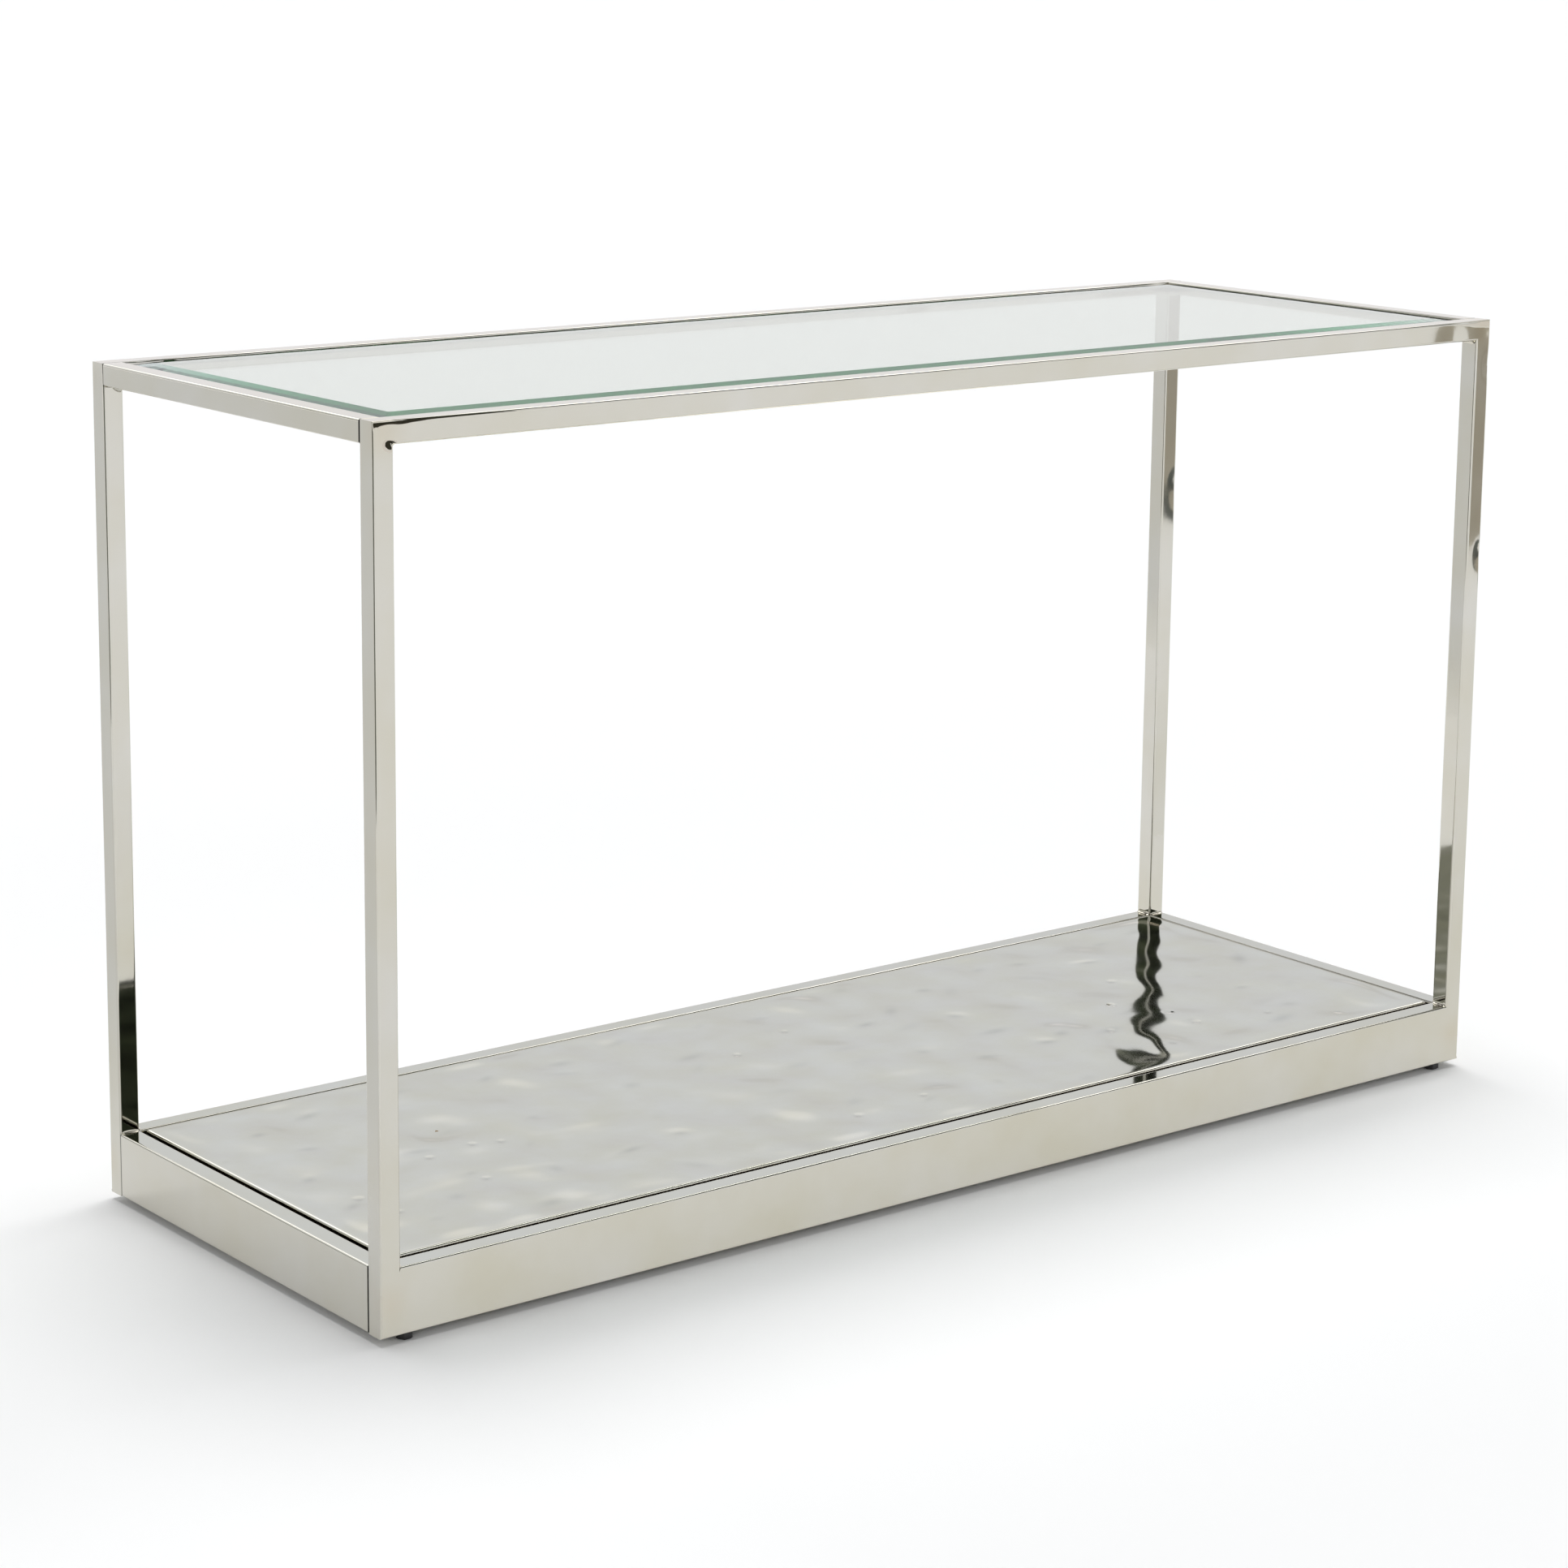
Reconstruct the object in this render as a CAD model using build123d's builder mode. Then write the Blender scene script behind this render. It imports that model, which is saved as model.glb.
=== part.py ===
from build123d import *
import os

# Console table: a welded frame of polished tube, a drop-in bevelled glass top, a shelf of
# hammered sheet over a board, and four feet that screw in and out.
# Millimetres. +Z up, +X along the length, +Y towards the back.
# The origin is on the floor, under the middle of the table.

# Overall size
LENGTH = 1320.0
DEPTH = 465.0
HEIGHT = 780.0
FOOT_GAP = 7.0  # floor to the underside of the frame, with the feet screwed home

# Frame tube
TUBE = 20.0
WALL = 1.5
CORNER_R = 1.5
APRON_HEIGHT = 60.0

# Glass top
GLASS_THICK = 8.0
GLASS_GAP = 1.5
BEVEL_WIDTH = 20.0
BEVEL_DROP = 3.0
BUMPER_THICK = 1.0
BUMPER_R = 5.0
GLASS_LEDGE_WIDTH = 12.0
GLASS_LEDGE_THICK = 3.0

# Shelf
SHELF_GAP = 4.0
SHELF_PROUD = 1.0  # top of the sheet above the top of the aprons
CORE_THICK = 18.0
SKIN_THICK = 1.0
SKIN_DEPTH = 14.0
SKIN_EDGE_R = 3.5
ANGLE_SIZE = 20.0
ANGLE_THICK = 2.0
BEARER_X = 425.0

# Shelf screws
SCREW_R = 2.0
SCREW_HOLE_R = 2.3
SCREW_LENGTH = 14.0
SCREW_HEAD_R = 4.0
SCREW_HEAD_HEIGHT = 2.6
SCREW_KEY = 2.5
SCREW_KEY_DEPTH = 1.5

# Feet
FOOT_INSET_X = 29.0
STUD_R = 4.0
NUT_BORE_R = 4.08
WALL_HOLE_R = 4.4
NUT_ACROSS_FLATS = 13.0
NUT_HEIGHT = 6.5
STUD_TOP = 27.0
STUD_HEAD_R = 5.0
STUD_HEAD_LOW = 1.6
STUD_HEAD_HIGH = 3.4
STUD_KEY = 4.0
STUD_KEY_DEPTH = 3.0
PAD_ACROSS_FLATS = 14.0
PAD_HEIGHT = 6.7
PAD_CHAMFER = 1.6
PAD_NECK_R = 4.4
PAD_KEY_R = 2.7
PAD_CLEAR = 0.3

# Derived places
INNER_X = LENGTH / 2 - TUBE  # inner faces of the left and right members
INNER_Y = DEPTH / 2 - TUBE  # inner faces of the front and rear members
MEMBER_X = (LENGTH - TUBE) / 2
MEMBER_Y = (DEPTH - TUBE) / 2
APRON_TOP = FOOT_GAP + APRON_HEIGHT
GLASS_BOTTOM = HEIGHT - GLASS_THICK
LEDGE_TOP = GLASS_BOTTOM - BUMPER_THICK
LEDGE_BOTTOM = LEDGE_TOP - GLASS_LEDGE_THICK
SHELF_TOP = APRON_TOP + SHELF_PROUD
CORE_TOP = SHELF_TOP - SKIN_THICK
CORE_BOTTOM = CORE_TOP - CORE_THICK
ANGLE_FLANGE_BOTTOM = CORE_BOTTOM - ANGLE_THICK
SHELF_LENGTH = 2 * (INNER_X - SHELF_GAP)
SHELF_DEPTH = 2 * (INNER_Y - SHELF_GAP)
SCREW_LINE_X = INNER_X - ANGLE_SIZE / 2 - 2.0
SCREW_LINE_Y = INNER_Y - ANGLE_SIZE / 2 - 2.0
SCREW_XS = (-530.0, -210.0, 210.0, 530.0)
FOOT_X = LENGTH / 2 - FOOT_INSET_X
FOOT_Y = MEMBER_Y
NUT_BOTTOM = FOOT_GAP + WALL

SCREW_PLACES = [(x, side * SCREW_LINE_Y) for x in SCREW_XS for side in (-1, 1)]
SCREW_PLACES += [(side * SCREW_LINE_X, 0.0) for side in (-1, 1)]

LEFT_RIGHT = {"left": -1, "right": 1}
FRONT_REAR = {"front": -1, "rear": 1}

os.makedirs("parts", exist_ok=True)


def finish(piece, name):
    """Label a finished piece and write it."""
    piece.part.label = name
    export_step(piece.part, f"parts/{name}.step")


def tube_section(width, height):
    """A hollow section with rounded outer corners, drawn in the sketch that is open."""
    RectangleRounded(width, height, CORNER_R)
    Rectangle(width - 2 * WALL, height - 2 * WALL, mode=Mode.SUBTRACT)


def mitre_plane(side_x, outer_z, inner_z):
    """The mitre of a frame corner, from its outer to its inner corner, facing the middle."""
    rise = inner_z - outer_z
    lean = -TUBE if rise > 0 else TUBE
    return Plane(
        origin=(side_x * LENGTH / 2, 0, outer_z),
        x_dir=(0, 1, 0),
        z_dir=(-side_x * abs(rise), 0, lean),
    )


def top_mitre(side_x):
    return mitre_plane(side_x, HEIGHT, HEIGHT - TUBE)


def bottom_mitre(side_x):
    return mitre_plane(side_x, FOOT_GAP, APRON_TOP)


def make_leg(name, side_x, side_y):
    """A leg, mitred to the rail at its top and to the deeper apron at its foot."""
    with BuildPart() as leg:
        with BuildSketch(Plane.XY.offset(FOOT_GAP)):
            with Locations((side_x * MEMBER_X, side_y * MEMBER_Y)):
                tube_section(TUBE, TUBE)
        extrude(amount=HEIGHT - FOOT_GAP)
        split(bisect_by=top_mitre(side_x), keep=Keep.BOTTOM)
        split(bisect_by=bottom_mitre(side_x), keep=Keep.BOTTOM)
    finish(leg, name)


def make_top_rail(name, side_y):
    """A front or rear top rail, mitred to the legs."""
    with BuildPart() as rail:
        with BuildSketch(Plane.YZ.offset(-LENGTH / 2)):
            with Locations((side_y * MEMBER_Y, HEIGHT - TUBE / 2)):
                tube_section(TUBE, TUBE)
        extrude(amount=LENGTH)
        for side_x in LEFT_RIGHT.values():
            split(bisect_by=top_mitre(side_x), keep=Keep.TOP)
    finish(rail, name)


def make_apron(name, side_y):
    """A front or rear apron, mitred to the legs and drilled for the feet."""
    with BuildPart() as apron:
        with BuildSketch(Plane.YZ.offset(-LENGTH / 2)):
            with Locations((side_y * MEMBER_Y, FOOT_GAP + APRON_HEIGHT / 2)):
                tube_section(TUBE, APRON_HEIGHT)
        extrude(amount=LENGTH)
        for side_x in LEFT_RIGHT.values():
            split(bisect_by=bottom_mitre(side_x), keep=Keep.TOP)
        with BuildSketch(Plane.XY.offset(FOOT_GAP)):
            with Locations((-FOOT_X, side_y * FOOT_Y), (FOOT_X, side_y * FOOT_Y)):
                Circle(WALL_HOLE_R)
        extrude(amount=WALL, mode=Mode.SUBTRACT)
    finish(apron, name)


def make_side_member(name, side_x, base_z, height):
    """A left or right rail or apron, cut square between the legs."""
    with BuildPart() as member:
        with BuildSketch(Plane.XZ.offset(-INNER_Y)):
            with Locations((side_x * MEMBER_X, base_z + height / 2)):
                tube_section(TUBE, height)
        extrude(amount=2 * INNER_Y)
    finish(member, name)


def make_long_glass_ledge(name, side_y):
    """A flat bar along the inside of a front or rear rail."""
    centre_y = side_y * (INNER_Y - GLASS_LEDGE_WIDTH / 2)
    with BuildPart() as ledge:
        with BuildSketch(Plane.XY.offset(LEDGE_BOTTOM)):
            with Locations((0, centre_y)):
                Rectangle(2 * INNER_X, GLASS_LEDGE_WIDTH)
        extrude(amount=GLASS_LEDGE_THICK)
    finish(ledge, name)


def make_short_glass_ledge(name, side_x):
    """A flat bar along the inside of a side rail, between the long ledges."""
    centre_x = side_x * (INNER_X - GLASS_LEDGE_WIDTH / 2)
    with BuildPart() as ledge:
        with BuildSketch(Plane.XY.offset(LEDGE_BOTTOM)):
            with Locations((centre_x, 0)):
                Rectangle(GLASS_LEDGE_WIDTH, 2 * (INNER_Y - GLASS_LEDGE_WIDTH))
        extrude(amount=GLASS_LEDGE_THICK)
    finish(ledge, name)


def make_glass_bumpers():
    """Soft clear discs on the long ledges, under the pane."""
    bumper_y = INNER_Y - GLASS_LEDGE_WIDTH / 2
    bumper_pitch = INNER_X - 60.0
    with BuildPart() as bumpers:
        with BuildSketch(Plane.XY.offset(LEDGE_TOP)):
            with GridLocations(bumper_pitch, 2 * bumper_y, 3, 2):
                Circle(BUMPER_R)
        extrude(amount=BUMPER_THICK)
    finish(bumpers, "glass_bumpers")


def make_glass_top():
    """The pane: a flat slab with a wide, shallow bevel round its top."""
    length = 2 * (INNER_X - GLASS_GAP)
    depth = 2 * (INNER_Y - GLASS_GAP)
    with BuildPart() as glass:
        with BuildSketch(Plane.XY.offset(GLASS_BOTTOM)):
            Rectangle(length, depth)
        extrude(amount=GLASS_THICK - BEVEL_DROP)
        with BuildSketch(Plane.XY.offset(HEIGHT - BEVEL_DROP)):
            Rectangle(length, depth)
        with BuildSketch(Plane.XY.offset(HEIGHT)):
            Rectangle(length - 2 * BEVEL_WIDTH, depth - 2 * BEVEL_WIDTH)
        loft(ruled=True)
    finish(glass, "glass_top")


def make_long_shelf_ledge(name, side_y):
    """An angle inside a front or rear apron, its flange level under the shelf."""
    face_y = side_y * INNER_Y
    with BuildPart() as ledge:
        with BuildSketch(Plane.YZ.offset(-INNER_X)):
            with BuildLine():
                Polyline(
                    (face_y, CORE_BOTTOM),
                    (face_y - side_y * ANGLE_SIZE, CORE_BOTTOM),
                    (face_y - side_y * ANGLE_SIZE, ANGLE_FLANGE_BOTTOM),
                    (face_y - side_y * ANGLE_THICK, ANGLE_FLANGE_BOTTOM),
                    (face_y - side_y * ANGLE_THICK, CORE_BOTTOM - ANGLE_SIZE),
                    (face_y, CORE_BOTTOM - ANGLE_SIZE),
                    close=True,
                )
            make_face()
        extrude(amount=2 * INNER_X)
        with BuildSketch(Plane.XY.offset(ANGLE_FLANGE_BOTTOM)):
            with Locations(*[(x, side_y * SCREW_LINE_Y) for x in SCREW_XS]):
                Circle(SCREW_HOLE_R)
        extrude(amount=ANGLE_THICK, mode=Mode.SUBTRACT)
    finish(ledge, name)


def make_short_shelf_ledge(name, side_x):
    """An angle inside a side apron, between the flanges of the long ledges."""
    face_x = side_x * INNER_X
    half_run = INNER_Y - ANGLE_SIZE
    with BuildPart() as ledge:
        with BuildSketch(Plane.XZ.offset(-half_run)):
            with BuildLine():
                Polyline(
                    (face_x, CORE_BOTTOM),
                    (face_x - side_x * ANGLE_SIZE, CORE_BOTTOM),
                    (face_x - side_x * ANGLE_SIZE, ANGLE_FLANGE_BOTTOM),
                    (face_x - side_x * ANGLE_THICK, ANGLE_FLANGE_BOTTOM),
                    (face_x - side_x * ANGLE_THICK, CORE_BOTTOM - ANGLE_SIZE),
                    (face_x, CORE_BOTTOM - ANGLE_SIZE),
                    close=True,
                )
            make_face()
        extrude(amount=2 * half_run)
        with BuildSketch(Plane.XY.offset(ANGLE_FLANGE_BOTTOM)):
            with Locations((side_x * SCREW_LINE_X, 0)):
                Circle(SCREW_HOLE_R)
        extrude(amount=ANGLE_THICK, mode=Mode.SUBTRACT)
    finish(ledge, name)


def make_bearer(name, centre_x):
    """A cross tube under the shelf, its top notched to tuck under the ledge flanges."""
    half_run = INNER_Y - ANGLE_THICK
    notch_run = ANGLE_SIZE - ANGLE_THICK
    with BuildPart() as bearer:
        with BuildSketch(Plane.XZ.offset(-half_run)):
            with Locations((centre_x, CORE_BOTTOM - TUBE / 2)):
                tube_section(TUBE, TUBE)
        extrude(amount=2 * half_run)
        with BuildSketch(Plane.XY.offset(ANGLE_FLANGE_BOTTOM)):
            for side_y in FRONT_REAR.values():
                with Locations((centre_x, side_y * (half_run - notch_run / 2))):
                    Rectangle(TUBE, notch_run)
        extrude(amount=ANGLE_THICK, mode=Mode.SUBTRACT)
    finish(bearer, name)


def make_shelf_core():
    """The board inside the shelf, its top edges eased to the roll of the sheet."""
    with BuildPart() as core:
        with BuildSketch(Plane.XY.offset(CORE_BOTTOM)):
            Rectangle(SHELF_LENGTH - 2 * SKIN_THICK, SHELF_DEPTH - 2 * SKIN_THICK)
        extrude(amount=CORE_THICK)
        fillet(core.faces().sort_by(Axis.Z)[-1].edges(), radius=SKIN_EDGE_R - SKIN_THICK)
        with BuildSketch(Plane.XY.offset(CORE_BOTTOM)):
            with Locations(*SCREW_PLACES):
                Circle(SCREW_R)
        extrude(amount=SCREW_LENGTH - ANGLE_THICK, mode=Mode.SUBTRACT)
    finish(core, "shelf_core")


def make_shelf_skin():
    """The sheet: a shallow tray turned over the board, with rolled top edges."""
    with BuildPart() as skin:
        with BuildSketch(Plane.XY.offset(SHELF_TOP - SKIN_DEPTH)):
            Rectangle(SHELF_LENGTH, SHELF_DEPTH)
        extrude(amount=SKIN_DEPTH)
        fillet(skin.faces().sort_by(Axis.Z)[-1].edges(), radius=SKIN_EDGE_R)
        offset(amount=-SKIN_THICK, openings=skin.faces().sort_by(Axis.Z)[0])
    finish(skin, "shelf_skin")


def make_shelf_screws():
    """Button-head screws up through the ledges into the board."""
    with BuildPart() as screws:
        with BuildSketch(Plane.XY.offset(ANGLE_FLANGE_BOTTOM)):
            with Locations(*SCREW_PLACES):
                Circle(SCREW_R)
        extrude(amount=SCREW_LENGTH)
        with BuildSketch(Plane.XY.offset(ANGLE_FLANGE_BOTTOM)):
            with Locations(*SCREW_PLACES):
                Circle(SCREW_HEAD_R)
        extrude(amount=-SCREW_HEAD_HEIGHT)
        fillet(screws.faces().group_by(Axis.Z)[0].edges(), radius=SCREW_HEAD_HEIGHT * 0.6)
        with BuildSketch(Plane.XY.offset(ANGLE_FLANGE_BOTTOM - SCREW_HEAD_HEIGHT)):
            with Locations(*SCREW_PLACES):
                RegularPolygon(SCREW_KEY / 2, 6, major_radius=False)
        extrude(amount=SCREW_KEY_DEPTH, mode=Mode.SUBTRACT)
    finish(screws, "shelf_screws")


def make_foot_nut(name, x, y):
    """A hexagon nut welded to the inside of the apron's lower wall."""
    with BuildPart() as nut:
        with BuildSketch(Plane.XY.offset(NUT_BOTTOM)):
            with Locations((x, y)):
                RegularPolygon(NUT_ACROSS_FLATS / 2, 6, major_radius=False)
                Circle(NUT_BORE_R, mode=Mode.SUBTRACT)
        extrude(amount=NUT_HEIGHT)
    finish(nut, name)


def make_foot_stud(name, x, y):
    """A threaded stud with a disc head that turns inside the pad, and a key socket below."""
    with BuildPart() as stud:
        with BuildSketch(Plane.XY.offset(STUD_HEAD_LOW)):
            with Locations((x, y)):
                Circle(STUD_HEAD_R)
        extrude(amount=STUD_HEAD_HIGH - STUD_HEAD_LOW)
        with BuildSketch(Plane.XY.offset(STUD_HEAD_HIGH)):
            with Locations((x, y)):
                Circle(STUD_R)
        extrude(amount=STUD_TOP - STUD_HEAD_HIGH)
        chamfer(stud.faces().sort_by(Axis.Z)[-1].edges(), length=0.8)
        with BuildSketch(Plane.XY.offset(STUD_HEAD_LOW)):
            with Locations((x, y)):
                RegularPolygon(STUD_KEY / 2, 6, major_radius=False)
        extrude(amount=STUD_KEY_DEPTH, mode=Mode.SUBTRACT)
    finish(stud, name)


def make_foot_pad(name, x, y):
    """A moulded hexagonal pad with a bevelled sole, a cavity for the stud's head and a key hole."""
    cavity_low = STUD_HEAD_LOW - PAD_CLEAR
    cavity_high = STUD_HEAD_HIGH + PAD_CLEAR
    with BuildPart() as pad:
        with BuildSketch(Plane.XY):
            with Locations((x, y)):
                RegularPolygon(PAD_ACROSS_FLATS / 2, 6, major_radius=False)
        extrude(amount=PAD_HEIGHT)
        chamfer(pad.faces().sort_by(Axis.Z)[0].edges(), length=PAD_CHAMFER)
        with BuildSketch(Plane.XY):
            with Locations((x, y)):
                Circle(PAD_KEY_R)
        extrude(amount=PAD_HEIGHT, mode=Mode.SUBTRACT)
        with BuildSketch(Plane.XY.offset(cavity_low)):
            with Locations((x, y)):
                Circle(STUD_HEAD_R + PAD_CLEAR)
        extrude(amount=cavity_high - cavity_low, mode=Mode.SUBTRACT)
        with BuildSketch(Plane.XY.offset(cavity_high)):
            with Locations((x, y)):
                Circle(PAD_NECK_R)
        extrude(amount=PAD_HEIGHT - cavity_high, mode=Mode.SUBTRACT)
    finish(pad, name)


for across, side_y in FRONT_REAR.items():
    make_top_rail(f"{across}_top_rail", side_y)
    make_apron(f"{across}_apron", side_y)
    make_long_glass_ledge(f"{across}_glass_ledge", side_y)
    make_long_shelf_ledge(f"{across}_shelf_ledge", side_y)
    for along, side_x in LEFT_RIGHT.items():
        corner = f"{across}_{along}"
        make_leg(f"{corner}_leg", side_x, side_y)
        make_foot_nut(f"{corner}_foot_nut", side_x * FOOT_X, side_y * FOOT_Y)
        make_foot_stud(f"{corner}_foot_stud", side_x * FOOT_X, side_y * FOOT_Y)
        make_foot_pad(f"{corner}_foot_pad", side_x * FOOT_X, side_y * FOOT_Y)

for along, side_x in LEFT_RIGHT.items():
    make_side_member(f"{along}_top_rail", side_x, HEIGHT - TUBE, TUBE)
    make_side_member(f"{along}_apron", side_x, FOOT_GAP, APRON_HEIGHT)
    make_short_glass_ledge(f"{along}_glass_ledge", side_x)
    make_short_shelf_ledge(f"{along}_shelf_ledge", side_x)

for place, centre_x in {"left": -BEARER_X, "middle": 0.0, "right": BEARER_X}.items():
    make_bearer(f"{place}_shelf_bearer", centre_x)

make_glass_bumpers()
make_glass_top()
make_shelf_core()
make_shelf_skin()
make_shelf_screws()
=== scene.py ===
"""Console table: a mirror-polished tube frame, a bevelled glass top and a hammered steel shelf.

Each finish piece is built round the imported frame, in metres, and rides on one of its bodies.
"""

import math

import bmesh
import bpy
import numpy as np
from bpy.props import FloatProperty, FloatVectorProperty, IntProperty, PointerProperty
from mathutils import Matrix, Vector


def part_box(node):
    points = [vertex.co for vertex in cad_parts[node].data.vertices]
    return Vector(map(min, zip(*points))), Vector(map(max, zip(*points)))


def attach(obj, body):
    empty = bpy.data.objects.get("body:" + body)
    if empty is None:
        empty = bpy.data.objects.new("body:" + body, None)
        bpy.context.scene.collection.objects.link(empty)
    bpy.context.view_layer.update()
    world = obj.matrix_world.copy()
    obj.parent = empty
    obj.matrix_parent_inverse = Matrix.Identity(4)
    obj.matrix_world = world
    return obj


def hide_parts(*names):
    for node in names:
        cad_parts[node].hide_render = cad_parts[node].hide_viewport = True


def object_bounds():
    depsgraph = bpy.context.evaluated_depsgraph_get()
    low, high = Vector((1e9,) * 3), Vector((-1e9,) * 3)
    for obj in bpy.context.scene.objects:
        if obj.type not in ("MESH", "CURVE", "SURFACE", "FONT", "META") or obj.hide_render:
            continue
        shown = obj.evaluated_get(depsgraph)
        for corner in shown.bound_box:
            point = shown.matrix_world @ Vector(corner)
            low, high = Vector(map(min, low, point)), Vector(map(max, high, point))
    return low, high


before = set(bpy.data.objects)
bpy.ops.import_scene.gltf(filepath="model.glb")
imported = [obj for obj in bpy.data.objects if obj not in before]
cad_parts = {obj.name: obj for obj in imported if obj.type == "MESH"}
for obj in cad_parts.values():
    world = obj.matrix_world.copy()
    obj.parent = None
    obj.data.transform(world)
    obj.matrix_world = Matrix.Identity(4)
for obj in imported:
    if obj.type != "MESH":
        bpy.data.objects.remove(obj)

bl_info = {
    "name": "Console Table",
    "version": (1, 0, 0),
    "blender": (4, 5, 0),
    "location": "View3D > Sidebar > Table",
    "description": "Builds the finish pieces of a steel and glass console table",
    "category": "Object",
}

CAD_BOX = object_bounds()
MM = 0.001
SIDES = {"left": -1, "right": 1}
FACES = {"front": -1, "rear": 1}
LONG_MEMBERS = ("front_top_rail", "front_apron")
MIX_A, MIX_B, MIX_OUT = 6, 7, 2  # the colour sockets of a Mix node


def hex_colour(code):
    """An sRGB hex code as linear red, green and blue."""
    channels = [int(code[i : i + 2], 16) / 255 for i in (1, 3, 5)]
    return tuple(c / 12.92 if c <= 0.04045 else ((c + 0.055) / 1.055) ** 2.4 for c in channels)


def size_property(name, millimetres, description):
    """A length that a user may change, given here in millimetres."""
    return FloatProperty(
        name=name, description=description, default=millimetres * MM, unit="LENGTH", precision=5
    )


def colour_property(name, code, description):
    """A colour that a user may change, given here as sRGB hex."""
    return FloatVectorProperty(
        name=name, description=description, default=hex_colour(code), size=3, subtype="COLOR",
        min=0.0, max=1.0,
    )


class TableSizes(bpy.types.PropertyGroup):
    """Sizes of the finish that the frame does not fix."""

    edge_radius: size_property("Tube edge radius", 1.5, "Outer corner radius of the tube")
    tube_wave: size_property("Tube unevenness", 0.05, "Height of the long waves left by polishing")
    weld_radius: size_property("Weld radius", 4.0, "Radius of the dressed weld inside a corner")
    sheet_radius: size_property("Sheet edge radius", 2.2, "Radius rolled along the shelf's edges")
    sheet_gap: size_property("Sheet gap", 0.6, "How far the sheet is trimmed back from its place")
    sheet_wave: size_property("Sheet waves", 0.66, "Height of the broad waves in the sheet")
    dent_pitch: size_property("Dent pitch", 88.0, "Usual distance from one hammer dent to the next")
    dent_depth: size_property("Dent depth", 0.6, "Depth of a full hammer dent")
    arris: size_property("Glass arris", 0.5, "Width of the small chamfers on the pane's edges")
    bevel_width: size_property("Glass bevel width", 20.0, "Width of the sloping border of the pane")
    bevel_drop: size_property("Glass bevel drop", 3.0, "How far the border falls to the pane's edge")
    thread_pitch: size_property("Thread pitch", 1.25, "Pitch of the foot's thread")
    seed: IntProperty(name="Hammering seed", description="Which set of dents is drawn", default=7)


class TableColours(bpy.types.PropertyGroup):
    """Colours of the materials."""

    steel: colour_property("Steel", "#D3D1CB", "Polished stainless steel")
    steel_warm: colour_property("Warm steel", "#CCC8BA", "Steel where the polish is a little warmer")
    heat: colour_property("Heat tint", "#C2A878", "Straw tint left beside a weld")
    # Seam: a near-black colour painted where a side member meets a leg, for the shade in that narrow gap
    # and the dirt held in it.
    seam: colour_property("Seam", "#26241F", "Polishing dirt held in an open seam")
    mill: colour_property("Mill steel", "#A5A49F", "Unpolished stainless bar and angle")
    zinc: colour_property("Zinc", "#B4B8BC", "Zinc plate on nuts, studs and screws")
    nylon: colour_property("Nylon", "#141414", "Black nylon of the foot pads")
    board: colour_property("Board", "#A98B62", "Fibreboard under the shelf sheet")
    silicone: colour_property("Silicone", "#E6EAE8", "Clear bumpers under the pane")
    floor: colour_property("Floor", "#F8F8F8", "Studio floor")


# ---------------------------------------------------------------- materials


def add_node(tree, kind, settings=None, out=0):
    """Add a node and give one of its outputs. A setting is a property of the node, the value of
    an input, or another node's output, which is linked to that input."""
    node = tree.nodes.new(kind)
    for key, value in (settings or {}).items():
        if isinstance(value, bpy.types.NodeSocket):
            tree.links.new(value, node.inputs[key])
        elif isinstance(key, str) and hasattr(node, key):
            setattr(node, key, value)
        else:
            node.inputs[key].default_value = value
    return node.outputs[out] if node.outputs else None


def new_material(name, surface, *details):
    """A material whose shaders come from a function of its node tree, of object-space coordinates
    in metres, and of the details."""
    material = bpy.data.materials.new(name)
    material.use_nodes = True
    tree = material.node_tree
    tree.nodes.clear()
    coords = add_node(tree, "ShaderNodeTexCoord", out="Object")
    add_node(tree, "ShaderNodeOutputMaterial", surface(tree, coords, *details))
    return material


def opaque(colour):
    return (*colour, 1.0)


def one_pattern(tree, pattern, tones, share, roughness, relief, fixed):
    """A surface that follows one pattern. Share is how much of the second tone shows, and
    roughness how rough it is, where the pattern is weakest and strongest; relief is in metres."""
    amount = add_node(
        tree, "ShaderNodeMapRange", {"Value": pattern, "To Min": share[0], "To Max": share[1]}
    )
    first, second = (opaque(tone) for tone in tones)
    body = add_node(
        tree, "ShaderNodeMix", {"data_type": "RGBA", 0: amount, MIX_A: first, MIX_B: second}, MIX_OUT
    )
    look = {"Base Color": body, **fixed}
    if roughness:
        low, high = roughness
        look["Roughness"] = add_node(
            tree, "ShaderNodeMapRange", {"Value": pattern, "To Min": low, "To Max": high}
        )
    if relief:
        look["Normal"] = add_node(
            tree, "ShaderNodeBump", {"Height": pattern, "Distance": relief, "Strength": 1.0}
        )
    return {"Surface": add_node(tree, "ShaderNodeBsdfPrincipled", look)}


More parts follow.
